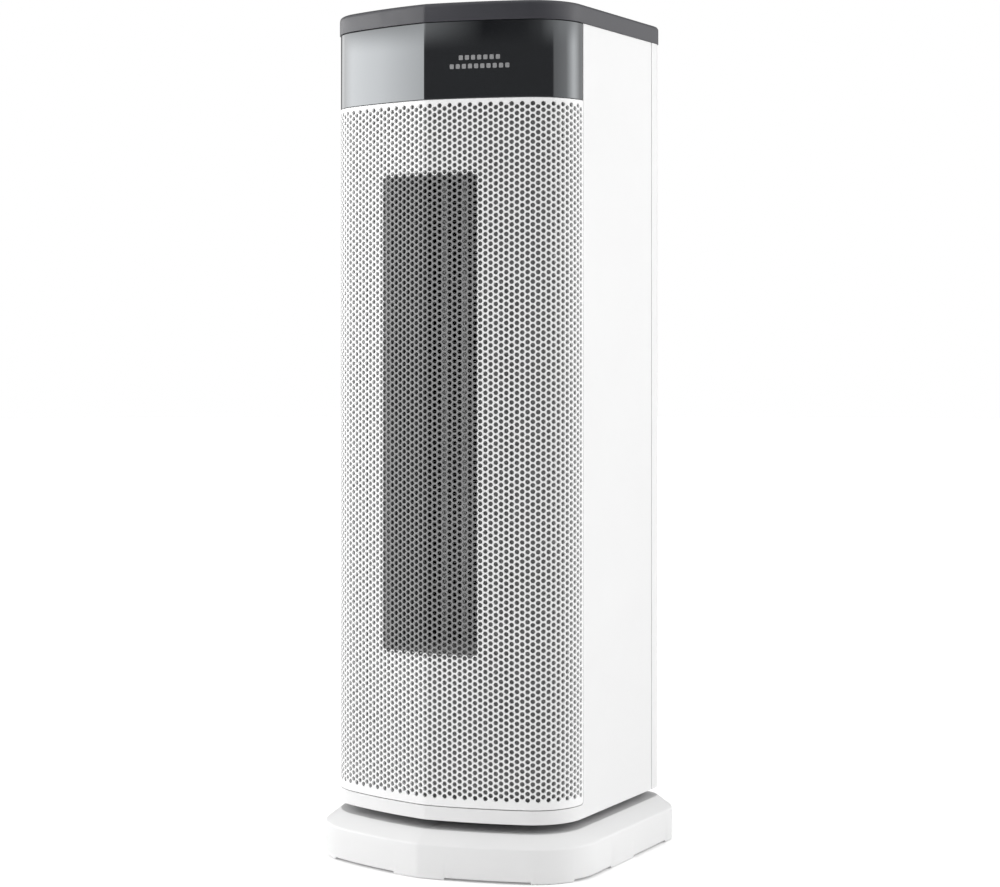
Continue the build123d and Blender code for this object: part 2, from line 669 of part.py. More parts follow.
def blower_motor():
    can = post(0, BLOWER_Y, *MOTOR_Z, MOTOR_RADIUS)
    can = fillet(can.edges().filter_by(GeomType.CIRCLE), 3.0)
    return can - post(0, BLOWER_Y, MOTOR_Z[0] + 5, 200, SHAFT_RADIUS + 0.3)


def motor_bracket():
    z = MOTOR_Z[1]
    plate = block((-38, BLOWER_Y - 30, z), (38, HOUSING_BACK_Y, z + 2)) - post(0, BLOWER_Y, 0, 300, 8)
    for x, y in mount_places():
        plate -= post(x, y, 100, 200, 2.1)
    return plate


def mount_places():
    return [(x, BLOWER_Y + y) for x, y in corners(*MOUNT_SPACING)]


def motor_mounts():
    z = MOTOR_Z[1] + 2
    return Compound(children=[post(x, y, z, HOUSING_BOTTOM, 4.0) for x, y in mount_places()])


# --- electronics -----------------------------------------------------------------------------------------
def control_board():
    half, y = CONTROL_BOARD_HALF, CONTROL_BOARD_Y
    low, high = CONTROL_BOARD_Z
    board = block((-half, y - BOARD_THICKNESS, low), (half, y, high))
    for x in (4 - half, half - 4):
        for z in (low + 4, high - 4):
            board -= rod_y(x, z, y - 9, y + 9, 1.7)
    return board


def board_relays():
    y = CONTROL_BOARD_Y
    return Compound(children=[block((x - 9, y, 100), (x + 9, y + 15.4, 118)) for x in (-40, -16, 8)])


def board_parts():
    """Two smoothing capacitors, the transformer and a connector."""
    y = CONTROL_BOARD_Y
    group = [rod_y(x, 74, y, y + 18.4, 6.0) for x in (-42, -24)]
    group.append(block((-8, y, 64), (20, y + 22.4, 90)))
    group.append(block((44, y, 66), (50, y + 10.4, 92)))
    return Compound(children=group)


def tip_over_sensor():
    y = CONTROL_BOARD_Y
    return block((28, y, 104), (42, y + 14.4, 126)) + rod_y(35, 115, y + 14.4, y + 16.4, 5.0)


def lead(x, bend_x, top_z):
    """Insulated lead from the control board up beside the duct to a heater terminal."""
    y = -50.0
    points = [(x, y, 122), (x, y, 140), (bend_x, y, 150), (bend_x, y, top_z), (bend_x, -21.5, top_z)]
    path = FilletPolyline(*points, radius=4)
    return sweep(Plane(origin=path @ 0, z_dir=path % 0) * Circle(1.3), path=Wire(path.edges()))


def heater_leads():
    top = OUTLET_TOP + 14
    return Compound(children=[lead(-40, -50, top), lead(-16, -54, top + 4)])


def shell_screws():
    places = [(sx * SHELL_SCREW_X, DEPTH / 2 - 11.6, z) for sx in (-1, 1) for z in SHELL_SCREW_Z]
    return screws(places, axis_y=True, head=3.2, head_height=2.3, shank=1.4, length=24)


# --- all nodes -------------------------------------------------------------------------------------------
NODES = {
    "base_shell": base_shell,
    "base_plate": base_plate,
    "rubber_feet": rubber_feet,
    "base_screws": base_screws,
    "cord_gland": cord_gland,
    "lower_race": lower_race,
    "swing_motor": swing_motor,
    "motor_posts": motor_posts,
    "swing_pinion": swing_pinion,
    "tower_floor": tower_floor,
    "upper_race": upper_race,
    "swing_gear": swing_gear,
    "hub_retainer": hub_retainer,
    "hub_screws": hub_screws,
    "front_shell": front_shell,
    "outlet_duct": outlet_duct,
    "front_grille": front_grille,
    "display_panel": display_panel,
    "rear_cover": rear_cover,
    "intake_grille": intake_grille,
    "handle_cup": handle_cup,
    "dust_filter": dust_filter,
    "top_cap": top_cap,
    "shell_screws": shell_screws,
    "button_board": button_board,
    "board_screws": board_screws,
    "button_switches": button_switches,
    "display_board": display_board,
    "digit_display": digit_display,
    "remote_receiver": remote_receiver,
    "switch_housing": switch_housing,
    "rocker": rocker,
    "ptc_frame": ptc_frame,
    "ptc_fins": ptc_fins,
    "ptc_strips": ptc_strips,
    "ptc_terminals": ptc_terminals,
    "thermal_cutout": thermal_cutout,
    "blower_wheel": blower_wheel,
    "blower_shaft": blower_shaft,
    "blower_housing": blower_housing,
    "upper_bush": upper_bush,
    "blower_motor": blower_motor,
    "motor_bracket": motor_bracket,
    "motor_mounts": motor_mounts,
    "control_board": control_board,
    "board_relays": board_relays,
    "board_parts": board_parts,
    "tip_over_sensor": tip_over_sensor,
    "heater_leads": heater_leads,
}

os.makedirs("parts", exist_ok=True)
for node, make in NODES.items():
    export_step(make(), f"parts/{node}.step")
for name, x in zip(BUTTON_NAMES, button_columns()):
    export_step(push_button(x), f"parts/button_{name}.step")
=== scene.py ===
"""Looks of the ceramic tower heater: shells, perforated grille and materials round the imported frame."""
import json
import math

import bmesh
import bpy
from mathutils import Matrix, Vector


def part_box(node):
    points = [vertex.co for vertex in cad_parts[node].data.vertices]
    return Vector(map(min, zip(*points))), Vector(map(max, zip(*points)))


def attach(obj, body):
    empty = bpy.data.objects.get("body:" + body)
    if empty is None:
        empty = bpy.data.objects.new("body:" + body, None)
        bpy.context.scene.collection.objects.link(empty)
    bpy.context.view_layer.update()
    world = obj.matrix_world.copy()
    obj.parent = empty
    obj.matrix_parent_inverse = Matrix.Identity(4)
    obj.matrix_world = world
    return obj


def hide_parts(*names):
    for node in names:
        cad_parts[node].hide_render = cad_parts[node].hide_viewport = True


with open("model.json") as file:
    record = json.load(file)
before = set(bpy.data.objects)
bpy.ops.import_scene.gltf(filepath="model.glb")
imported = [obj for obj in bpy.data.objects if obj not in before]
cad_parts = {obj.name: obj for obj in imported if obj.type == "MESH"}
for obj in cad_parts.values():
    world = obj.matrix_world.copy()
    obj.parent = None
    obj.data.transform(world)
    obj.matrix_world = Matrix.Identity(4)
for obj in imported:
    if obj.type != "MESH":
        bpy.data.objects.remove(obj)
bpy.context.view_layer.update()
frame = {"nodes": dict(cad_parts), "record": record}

# --- sizes in metres, from the frame and the casing's plan ----------------------------------------
MM = 0.001
SHELL_LOW, SHELL_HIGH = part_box("front_shell")
REAR_LOW, REAR_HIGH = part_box("rear_cover")
GRILLE_LOW, GRILLE_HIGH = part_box("front_grille")
PANEL_LOW, PANEL_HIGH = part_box("display_panel")
CAP_LOW, CAP_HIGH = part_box("top_cap")
BASE_LOW, BASE_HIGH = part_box("base_shell")
INTAKE_LOW, INTAKE_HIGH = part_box("intake_grille")
HANDLE_LOW, HANDLE_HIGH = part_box("handle_cup")
SWITCH_LOW, SWITCH_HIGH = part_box("switch_housing")

HALF_WIDTH = SHELL_HIGH.x
FRONT_Y = SHELL_LOW.y
BACK_Y = REAR_HIGH.y
GRILLE_EDGE_Y = -40 * MM
CREASE_ANGLE = math.radians(6.5)
FACET_ANGLE = math.radians(20)
CREASE_BLEND = 0.9 * MM   # narrow stretch beside the crease with its own mesh line
FRONT_CORNER = 38 * MM
REAR_CORNER = 16 * MM
WALL = 2.5 * MM
SEAM = 0.6 * MM           # open joint between neighbouring shells
REAR_SEAM = 0.9 * MM      # open joint between the side walls and the rear cover
BASE_MARGIN = BASE_HIGH.x - HALF_WIDTH
BASE_WALL_TOP = 23.3 * MM
BEVEL_INSET = 11 * MM
HUB_HOLE = 26.25 * MM
RELIEF = 1.4 * MM
RELIEF_INNER = 18 * MM
RELIEF_OUTER = 73 * MM
CAP_RIM_Z = 584 * MM
CAP_MARGIN = 0.7 * MM
CAP_EDGE = 2.9 * MM
PANEL_THICKNESS = 2.4 * MM
TOP_LIP = 14 * MM         # width of the flat rim before the middle of a top face
BACKING_INSET = 5 * MM
OUTLET_HALF = 36.5 * MM
OUTLET_Z = (150 * MM, 481 * MM)
SHELL_SCREW_X = 81 * MM
SHELL_SCREW_Z = (74 * MM, 311 * MM, 556 * MM)
SCREW_RECESS = 3.4 * MM   # radius of the recess over each shell screw
BUTTON_HOLE = 7.0 * MM    # radius of a button hole in the cap
BUTTON_CHAMFER = 0.7 * MM

HOLE_PITCH = 4.29 * MM     # between holes in a column
HOLE_STEP = 3.60 * MM      # between columns
HOLE_RADIUS = 1.66 * MM
HOLE_SIDES = 12
GRILLE_SHEET = 1.6 * MM
GRILLE_CORNER = 2.6 * MM   # radius of the lower corners
GRILLE_RIM = {"top": 1.9 * MM, "bottom": 4.6 * MM, "side": 0.9 * MM}

SLOT_ROWS = 45
SLOT_PITCH = 7 * MM
SLOT_HEIGHT = 3.2 * MM
SLOT_LENGTH = 56 * MM
SLOT_GAP = 3 * MM          # from the middle of the intake to the near end of a slot
SLOT_FIRST = 6 * MM        # from the lower edge of the intake to its first slot

RIB_S = 58.5 * MM         # stiffening ribs of the backing, seen faintly through the holes
RIB_WIDTH = 1.4 * MM
RIB_HEIGHT = 1.6 * MM
RIB_Z = (78 * MM, 412 * MM)

MARK_CENTRE_S = 39.5 * MM  # middle of the printed marks along the display
MARK_ROWS = ((558.8 * MM, 7), (552.9 * MM, 10))   # height and number of blocks
MARK_SIZE = (2.9 * MM, 3.2 * MM)
MARK_PITCH = 4.35 * MM

# --- camera and light -----------------------------------------------------------------------------
CAMERA_AT = (0.7711, -1.4070, 0.366)
CAMERA_TURN = math.radians(28.5)
CAMERA_LENS = 79.9
CAMERA_SHIFT_Y = -0.1028
FLOOR_REACH = 9.0
FLOOR_LIFT = 0.22         # keeps the paper floor white to the camera without lighting the object

# Soft light around the object. Azimuths are in degrees from the front towards +X, levels are brightness.
# The low band is what the glossy front mirrors; the upper band and the ceiling shape the white shells.
LOW_BAND = (
    (-180, 0.5), (-150, 0.3), (-126, 0.3),                                  # dim behind the left side
    (-118, 2.3), (-100, 2.9), (-72, 6.1), (-60, 5.8), (-42, 4.1),           # large softbox on the left
    (-37, 0.2), (71, 0.2),                                                  # dark towards the front
    (74, 1.1), (103, 1.6), (121, 4.0), (127, 4.0), (145, 1.5), (180, 0.5),  # softbox behind the right side
)
UPPER_BAND = (
    (-180, 0.1), (-135, 0.0), (-90, 1.1), (-45, 3.0),
    (0, 0.07), (45, 0.35), (90, 1.75), (135, 2.1), (180, 0.1),
)
CEILING = 0.92
LOW_EDGE = (0.16, 0.28)   # sine of the elevation where the low band gives way to the upper band
HIGH_EDGE = (0.6, 0.85)   # and where the upper band gives way to the ceiling


# --- plan outline ---------------------------------------------------------------------------------
class Plan:
    """Outline of the tower from above. Distance s runs along it from the front crease, positive to +X."""

    def __init__(self):
        facet_end_x = HALF_WIDTH - FRONT_CORNER * (1 - math.sin(FACET_ANGLE))
        radius = facet_end_x / (math.sin(FACET_ANGLE) - math.sin(CREASE_ANGLE))
        front = (-radius * math.sin(CREASE_ANGLE), FRONT_Y + radius * math.cos(CREASE_ANGLE))
        corner_y = front[1] - (radius - FRONT_CORNER) * math.cos(FACET_ANGLE)
        corner = (HALF_WIDTH - FRONT_CORNER, corner_y)
        rear = (HALF_WIDTH - REAR_CORNER, BACK_Y - REAR_CORNER)
        right = math.pi / 2
        self.parts = []
        self.length = 0.0
        self._arc(front, radius, CREASE_ANGLE, FACET_ANGLE)
        self._arc(corner, FRONT_CORNER, FACET_ANGLE, right)
        self._line((HALF_WIDTH, corner_y), (HALF_WIDTH, rear[1]), (1, 0))
        self._arc(rear, REAR_CORNER, right, 2 * right)
        self._line((rear[0], BACK_Y), (0, BACK_Y), (0, 1))

    def _arc(self, centre, radius, start, end):
        span = radius * (end - start)
        self.parts.append(("arc", self.length, self.length + span, (centre, radius, start)))
        self.length += span

    def _line(self, start, end, normal):
        span = math.dist(start, end)
        self.parts.append(("line", self.length, self.length + span, (start, end, normal)))
        self.length += span

    def at(self, s, offset=0.0):
        """Point of the outline at distance s, moved outwards by offset. Wraps round at the back centre."""
        if s > self.length:
            s -= 2 * self.length
        side = -1 if s < 0 else 1
        s = abs(s)
        if s < 1e-9:
            return 0.0, FRONT_Y - offset / math.cos(CREASE_ANGLE)
        for kind, low, high, data in self.parts:
            if s <= high + 1e-9:
                break
        if kind == "arc":
            centre, radius, start = data
            angle = start + (s - low) / radius
            x = centre[0] + (radius + offset) * math.sin(angle)
            y = centre[1] - (radius + offset) * math.cos(angle)
        else:
            start, end, normal = data
            t = (s - low) / (high - low)
            x = start[0] + (end[0] - start[0]) * t + normal[0] * offset
            y = start[1] + (end[1] - start[1]) * t + normal[1] * offset
        return side * x, y

    def side_distance(self, y):
        """Distance s at which the straight side passes the given y."""
        _, low, _, (start, _, _) = self.parts[2]
        return low + y - start[1]

    def back_distance(self, x):
        """Distance s at which the flat back passes the given x, counted on past the back centre."""
        return self.length - x

    def breaks(self):
        """Distances where the outline changes from one stretch to the next."""
        ends = [0.0] + [part[2] for part in self.parts]
        return ends + [2 * self.length - end for end in ends]

    def is_arc(self, s):
        """True where the outline is curved."""
        s = abs(s)
        if s > self.length:
            s = 2 * self.length - s
        return next(kind == "arc" for kind, _, high, _ in self.parts if s <= high + 1e-9)


plan = Plan()
OPENING_EDGE = plan.side_distance(GRILLE_EDGE_Y)   # where the opening for grille and display ends
GRILLE_EDGE = OPENING_EDGE - SEAM


def stations(start, end, extra=(), arc_step=1.6 * MM, line_step=12 * MM):
    """Distances along the outline, dense on arcs, with every break and extra value included."""
    marks = {start, end, *extra}
    for value in (*plan.breaks(), CREASE_BLEND):
        marks.update(m for m in (value, -value) if start < m < end)
    marks = sorted(marks)
    result = [marks[0]]
    for low, high in zip(marks, marks[1:]):
        step = arc_step if plan.is_arc((low + high) / 2) else line_step
        count = max(1, math.ceil((high - low) / step - 1e-6))
        result += [low + (high - low) * (i + 1) / count for i in range(count)]
    return [s for i, s in enumerate(result) if i == 0 or s - result[i - 1] > 1e-7]


# --- mesh helpers ---------------------------------------------------------------------------------
def piece(name, verts, faces, slot, replaces=(), body="tower", surface=None, soft=0.0):
    """New mesh piece that rides on a body, with its material and the nodes it stands for."""
    mesh = bpy.data.meshes.new(name)
    mesh.from_pydata(verts, [], faces)
    mesh.update()
    work = bmesh.new()
    work.from_mesh(mesh)
    bmesh.ops.remove_doubles(work, verts=work.verts, dist=1e-6)
    bmesh.ops.recalc_face_normals(work, faces=work.faces)
    work.to_mesh(mesh)
    work.free()
    obj = bpy.data.objects.new(name, mesh)
    bpy.context.scene.collection.objects.link(obj)
    mesh.materials.append(surfaces[surface or slot].material)
    if soft:
        soften(obj, soft)
    else:
        smooth(obj)
    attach(obj, body)
    if replaces:
        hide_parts(*replaces)
    return obj


def smooth(obj, angle=32):
    """Smooth shading with sharp edges kept."""
    obj.data.polygons.foreach_set("use_smooth", [True] * len(obj.data.polygons))
    obj.data.set_sharp_from_angle(angle=math.radians(angle))


def soften(obj, width, angle=40):
    """Small rounding on every sharp edge, with flat faces kept flat in the shading."""
    obj.data.polygons.foreach_set("use_smooth", [True] * len(obj.data.polygons))
    bevel = obj.modifiers.new("soft_edges", "BEVEL")
    bevel.width = width
    bevel.segments = 3
    bevel.limit_method = "ANGLE"
    bevel.angle_limit = math.radians(angle)
    flat = obj.modifiers.new("flat_faces", "WEIGHTED_NORMAL")
    flat.weight = 90
    flat.keep_sharp = True


class Sheet:
    """Solid wall along the outline between two offsets, collected from polygons (s, z) of its face."""

    def __init__(self, outer, inner):
        self.layers = (outer, inner)
        self.polygons = []

    def add(self, points):
        """One polygon of the face."""
        self.polygons.append(list(points))

    def add_cells(self, s_values, z_values, keep):
        """Adds the grid cells that keep(s, z) accepts, or a rounded web in the corner that it names."""
        for s0, s1 in zip(s_values, s_values[1:]):
            for z0, z1 in zip(z_values, z_values[1:]):
                kind = keep((s0 + s1) / 2, (z0 + z1) / 2)
                corners = [(s0, z0), (s1, z0), (s1, z1), (s0, z1)]
                if kind is True:
                    self.add(corners)
                elif kind:
                    first = ("low_near", "low_far", "high_far", "high_near").index(kind)
                    here, after, far, before = [corners[(first + k) % 4] for k in range(4)]
                    self.add([here, *quarter(after, before, far)])

    def build(self, name, slot, **details):
        """Makes the piece: both faces of the wall, and an edge wall wherever only one polygon ends."""
        verts, faces, known, uses = [], [], {}, {}

        def vertex(point, layer):
            key = (round(point[0] * 1e6), round(point[1] * 1e6), layer)
            if key not in known:
                known[key] = len(verts)
                verts.append((*plan.at(point[0], self.layers[layer]), point[1]))
            return known[key]

        for points in self.polygons:
            face = [vertex(p, 0) for p in points]
            back = [vertex(p, 1) for p in points]
            faces += [face, back[::-1]]
            for k, start in enumerate(face):
                end = face[(k + 1) % len(face)]
                wall = (start, back[k], back[(k + 1) % len(face)], end)
                uses.setdefault((min(start, end), max(start, end)), []).append(wall)
        faces += [walls[0] for walls in uses.values() if len(walls) == 1]
        return piece(name, verts, faces, slot, **details)


def quarter(start, end, centre, steps=6):
    """Points of a quarter arc from start to end."""
    points = []
    for k in range(steps + 1):
        turn = math.pi / 2 * k / steps
        c, d = math.cos(turn), math.sin(turn)
        points.append(tuple(m + (a - m) * c + (b - m) * d for a, b, m in zip(start, end, centre)))
    return points


def opening(s0, s1, z0, z1, radius):
    """Test for a rounded rectangle: False inside, a corner name in its rounded corners, True outside."""
    def keep(s, z):
        if not (s0 < s < s1 and z0 < z < z1):
            return True
        side = "near" if s < s0 + radius else "far" if s > s1 - radius else ""
        level = "low" if z < z0 + radius else "high" if z > z1 - radius else ""
        return f"{level}_{side}" if side and level else False
    return keep


def opening_lines(s0, s1, z0, z1, radius):
    """Grid lines that a rounded rectangle needs, along s and along z."""
    return [s0, s0 + radius, s1 - radius, s1], [z0, z0 + radius, z1 - radius, z1]


def rounded(corners, steps=5):
    """Points of a polyline whose corners (offset, height, radius) are rounded by arcs."""
    points = []
    count = len(corners)
    for i, (a, b, radius) in enumerate(corners):
        here = Vector((a, b))
        if radius <= 0:
            points.append(tuple(here))
            continue
        before = Vector(corners[i - 1][:2]) - here
        after = Vector(corners[(i + 1) % count][:2]) - here
        half = before.angle(after) / 2
        reach = radius / math.tan(half)
        first = here + before.normalized() * reach
        centre = here + (before.normalized() + after.normalized()).normalized() * radius / math.sin(half)
        last = here + after.normalized() * reach
        start = math.atan2(first.y - centre.y, first.x - centre.x)
        turn = math.atan2(last.y - centre.y, last.x - centre.x) - start
        turn = (turn + math.pi) % (2 * math.pi) - math.pi
        for k in range(steps + 1):
            angle = start + turn * k / steps
            points.append((centre.x + radius * math.cos(angle), centre.y + radius * math.sin(angle)))
    return points


def bridge(rings, close_rings, close_around):
    """Quads between consecutive rings of equal length."""
    faces = []
    count = len(rings[0])
    ring_pairs = len(rings) if close_rings else len(rings) - 1
    around = count if close_around else count - 1
    for i in range(ring_pairs):
        j = (i + 1) % len(rings)
        for k in range(around):
            m = (k + 1) % count
            faces.append((i * count + k, j * count + k, j * count + m, i * count + m))
    return faces


def swept_strip(name, section, start, end, slot, end_round=0.35 * MM, **details):
    """Closed section swept along the outline from start to end, with eased ends."""
    middle = [sum(p[k] for p in section) / len(section) for k in (0, 1)]
    span = [max(p[k] for p in section) - min(p[k] for p in section) for k in (0, 1)]
    shrink = [max(0.0, 1 - 2 * end_round / size) for size in span]
    eased = [tuple(m + (value - m) * f for value, m, f in zip(p, middle, shrink)) for p in section]
    rings = []
    for s in stations(start, end, extra=(start + end_round, end - end_round)):
        loop = eased if s in (start, end) else section
        rings.append([(*plan.at(s, offset), height) for offset, height in loop])
    faces = bridge(rings, False, True)
    count = len(section)
    faces.append(tuple(range(count)))
    faces.append(tuple((len(rings) - 1) * count + i for i in reversed(range(count))))
    return piece(name, [v for ring in rings for v in ring], faces, slot, **details)


# --- materials ------------------------------------------------------------------------------------
class Surface:
    """A procedural material: a Principled shader with grain, drifting colour, gloss and scuffs."""

    def __init__(
        self, name, colour, roughness, metallic=0.0,
        grain=900, bump=0.04, vary=0.03, gloss_vary=0.06, wear=0.05,
    ):
        self.material = bpy.data.materials.new(name)
        self.material.use_nodes = True
        tree = self.material.node_tree
        self.nodes, self.links = tree.nodes, tree.links
        self.shader = self.nodes["Principled BSDF"]
        self.shader.inputs["Metallic"].default_value = metallic
        self.place = self.nodes.new("ShaderNodeTexCoord").outputs["Object"]
        broad = self.noise(14, 3)
        fine = self.noise(grain, 2)
        self.mix_colour(broad, colour, vary)
        gloss = self.range(broad, roughness - gloss_vary / 2, roughness + gloss_vary / 2)
        scuffs = self.range(self.noise(60, 6), 0.0, wear, 0.58, 0.72)
        total = self.nodes.new("ShaderNodeMath")
        self.links.new(gloss, total.inputs[0])
        self.links.new(scuffs, total.inputs[1])
        self.links.new(total.outputs["Value"], self.shader.inputs["Roughness"])
        node = self.nodes.new("ShaderNodeBump")
        node.inputs["Strength"].default_value = bump
        node.inputs["Distance"].default_value = 0.0002
        self.links.new(fine, node.inputs["Height"])
        self.links.new(node.outputs["Normal"], self.shader.inputs["Normal"])

    def noise(self, scale, detail):
        """Noise over the object, at a scale per metre."""
        node = self.nodes.new("ShaderNodeTexNoise")
        node.inputs["Scale"].default_value = scale
        node.inputs["Detail"].default_value = detail
        self.links.new(self.place, node.inputs["Vector"])
        return node.outputs["Fac"]

    def range(self, source, low, high, source_low=0.3, source_high=0.7):
        """Stretches a value from its usual span to the given one."""
        node = self.nodes.new("ShaderNodeMapRange")
        node.inputs["From Min"].default_value = source_low
        node.inputs["From Max"].default_value = source_high
        node.inputs["To Min"].default_value = low
        node.inputs["To Max"].default_value = high
        self.links.new(source, node.inputs["Value"])
        return node.outputs["Result"]

    def mix_colour(self, source, colour, vary):
        """Base colour that drifts a little darker and lighter over the object."""
        node = self.nodes.new("ShaderNodeValToRGB")
        node.color_ramp.elements[0].position = 0.35
        node.color_ramp.elements[1].position = 0.65
        node.color_ramp.elements[0].color = (*[c * (1 - vary) for c in colour], 1)
        node.color_ramp.elements[1].color = (*[min(1, c * (1 + vary)) for c in colour], 1)
        self.links.new(source, node.inputs["Fac"])
        self.links.new(node.outputs["Color"], self.shader.inputs["Base Color"])

    def set(self, **values):
        """Sets sockets of the shader by name."""
        for name, value in values.items():
            self.shader.inputs[name.replace("_", " ")].default_value = value
        return self


def make_materials():
    """All surfaces by name. A surface named like a material slot is that slot's look."""
    return {
        "white_shell": Surface("white_shell", (0.82, 0.82, 0.82), 0.36, grain=1500, bump=0.05, vary=0.008),
        # The wall behind the grille is white shell plastic. Its mid grey here is painted shade, standing in
        # for the light the perforated sheet keeps off it.
        "painted_shade_backing": Surface("painted_shade_backing", (0.27, 0.27, 0.27), 0.5, grain=1400, bump=0.08, vary=0.02),
        "outlet_mesh": Surface(
            "outlet_mesh", (0.27, 0.27, 0.272), 0.5, grain=2400, bump=0.05
        ).set(Specular_IOR_Level=0.3),
        "pale_print": Surface("pale_print", (0.26, 0.26, 0.265), 0.5, grain=1800, bump=0.02, vary=0.06),
        "grey_plastic": Surface("grey_plastic", (0.20, 0.20, 0.21), 0.5, grain=1200, bump=0.12),
        "foot_rubber": Surface("foot_rubber", (0.02, 0.02, 0.02), 0.75, grain=700, bump=0.3, vary=0.15),
        "steel": Surface("steel", (0.62, 0.62, 0.64), 0.3, metallic=1.0, grain=2500, bump=0.05),
        "black_plastic": Surface(
            "black_plastic", (0.018, 0.018, 0.02), 0.42, grain=1300, bump=0.12, vary=0.1
        ),
        "motor_steel": Surface("motor_steel", (0.4, 0.41, 0.43), 0.38, metallic=0.9, grain=2200, bump=0.06),
        "heat_plastic": Surface("heat_plastic", (0.27, 0.27, 0.27), 0.5, grain=1100, bump=0.1, vary=0.08),
        "grille_metal": Surface("grille_metal", (0.90, 0.90, 0.90), 0.42, grain=2600, bump=0.04, vary=0.01),
        "display_gloss": Surface(
            "display_gloss", (0.006, 0.0065, 0.008), 0.035,
            grain=500, bump=0.004, vary=0.1, gloss_vary=0.02, wear=0.03,
        ).set(IOR=1.85, Specular_Tint=(0.93, 0.97, 1.0, 1)),
        "charcoal_cap": Surface(
            "charcoal_cap", (0.036, 0.036, 0.044), 0.42, grain=1800, bump=0.1, vary=0.05
        ).set(Specular_IOR_Level=0.5),
        "circuit_board": Surface("circuit_board", (0.02, 0.13, 0.05), 0.35, grain=800, bump=0.05, vary=0.2),
        "relay_plastic": Surface("relay_plastic", (0.03, 0.09, 0.32), 0.3, grain=900, bump=0.05),
        "fin_aluminium": Surface(
            "fin_aluminium", (0.95, 0.95, 0.95), 0.4, metallic=0.1, grain=1600, bump=0.15, vary=0.06
        ),
        "brass": Surface("brass", (0.72, 0.52, 0.2), 0.3, metallic=1.0, grain=1500, bump=0.08, vary=0.06),
    }


surfaces = make_materials()

BUTTONS = [f"button_{name}" for name in ("power", "mode", "swing", "timer", "level")]
SLOT_OF_NODE = {part["node"]: part["material_slot"] for part in frame["record"]["subparts"]}


# CAD nodes that show, with the rounding of their edges in millimetres
SOFT_NODES = {
    "handle_cup": 0.5, "switch_housing": 0.4, "rocker": 0.5, "cord_gland": 0.5, "rubber_feet": 0.4,
    "outlet_duct": 0.3, "shell_screws": 0.2, "base_screws": 0.2, "ptc_frame": 0.4, "ptc_strips": 0.3,
    "base_plate": 0.4, "lower_race": 0.2, "upper_race": 0.2, "tower_floor": 0.4,
}


def dress_cad_nodes():
    """Material and clean shading for every CAD node, with soft edges on those that show."""
    for name, obj in frame["nodes"].items():
        obj.data.materials.clear()
        obj.data.materials.append(surfaces[SLOT_OF_NODE[name]].material)
        weld = obj.modifiers.new("join_seams", "WELD")
        weld.merge_threshold = 1e-6
        if name in SOFT_NODES:
            faces = obj.modifiers.new("whole_faces", "DECIMATE")
            faces.decimate_type = "DISSOLVE"
            faces.angle_limit = math.radians(0.5)
            soften(obj, SOFT_NODES[name] * MM)
        else:
            smooth(obj, 30)
            flat = obj.modifiers.new("flat_faces", "WEIGHTED_NORMAL")
            flat.keep_sharp = True


# --- visible pieces -------------------------------------------------------------------------------
def make_casing():
    """Side walls and lower trim in one moulding, open where the grille and the display sit."""
    back = plan.side_distance(SHELL_HIGH.y)
    low, high = SHELL_LOW.z, SHELL_HIGH.z
    sill = GRILLE_LOW.z - SEAM
    radius = 3 * MM
    s_lines, z_lines = opening_lines(-OPENING_EDGE, OPENING_EDGE, sill, high + 2 * radius, radius)
    keep = opening(-OPENING_EDGE, OPENING_EDGE, sill, high + 2 * radius, radius)
    sheet = Sheet(0.0, -WALL)
    sheet.add_cells(stations(-back, back, s_lines), [low, *z_lines[:2], high], keep)
    return sheet.build("side_casing", "white_shell", replaces=["front_shell"], soft=0.35 * MM)


def make_backing():
    """Wall behind the grille with the outlet window and two stiffening ribs."""
    edge = OPENING_EDGE - 1 * MM
    low, high = GRILLE_LOW.z - 1 * MM, PANEL_LOW.z - 1 * MM
    half = OUTLET_HALF + 0.2 * MM
    window = (-half, half, OUTLET_Z[0] - 0.4 * MM, OUTLET_Z[1] + 1.2 * MM, 1.5 * MM)
    s_lines, z_lines = opening_lines(*window)
    sheet = Sheet(-BACKING_INSET, -BACKING_INSET - WALL)
    sheet.add_cells(stations(-edge, edge, s_lines), sorted([low, *z_lines, high]), opening(*window))
    # The wall and the ribs below take the grey surface, which is painted shade, instead of the shell white.
    sheet.build("grille_backing", "white_shell", replaces=["front_shell"], surface="painted_shade_backing", soft=0.3 * MM)
    for side, name in ((-1, "left"), (1, "right")):
        rib = Sheet(-BACKING_INSET + RIB_HEIGHT, -BACKING_INSET - 0.1 * MM)
        near, far = sorted((side * RIB_S, side * (RIB_S + RIB_WIDTH)))
        rib.add_cells([near, far], list(RIB_Z), lambda s, z: True)
        rib.build(f"backing_rib_{name}", "white_shell", surface="painted_shade_backing", soft=0.3 * MM)


def make_sill():
    """Pale floor of the outlet, from just inside the window to the heating element."""
    half, floor = OUTLET_HALF - 0.2 * MM, OUTLET_Z[0] + 0.1 * MM
    rear, rise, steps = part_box("ptc_frame")[0].y - 0.5 * MM, 1.2 * MM, 12
    verts, faces = [], []
    for i in range(steps + 1):
        x = -half + 2 * half * i / steps
        front = plan_front(x) + BACKING_INSET + 0.6 * MM
        section = [(front, floor), (front, floor + rise), (rear, floor + rise), (rear, floor)]
        verts += [(x, y, z) for y, z in section]
    faces += bridge([verts[i:i + 4] for i in range(0, len(verts), 4)], False, True)
    faces += [(0, 1, 2, 3), tuple(len(verts) - 4 + k for k in (3, 2, 1, 0))]
    return piece("outlet_sill", verts, faces, "heat_plastic", surface="white_shell", soft=0.4 * MM)


def plan_front(x):
    """Y of the front outline at a given x inside its facets."""
    low, high = 0.0, plan.parts[0][2]
    for _ in range(40):
        middle = (low + high) / 2
        if plan.at(middle)[0] < abs(x):
            low = middle
        else:
            high = middle
    return plan.at(low)[1]


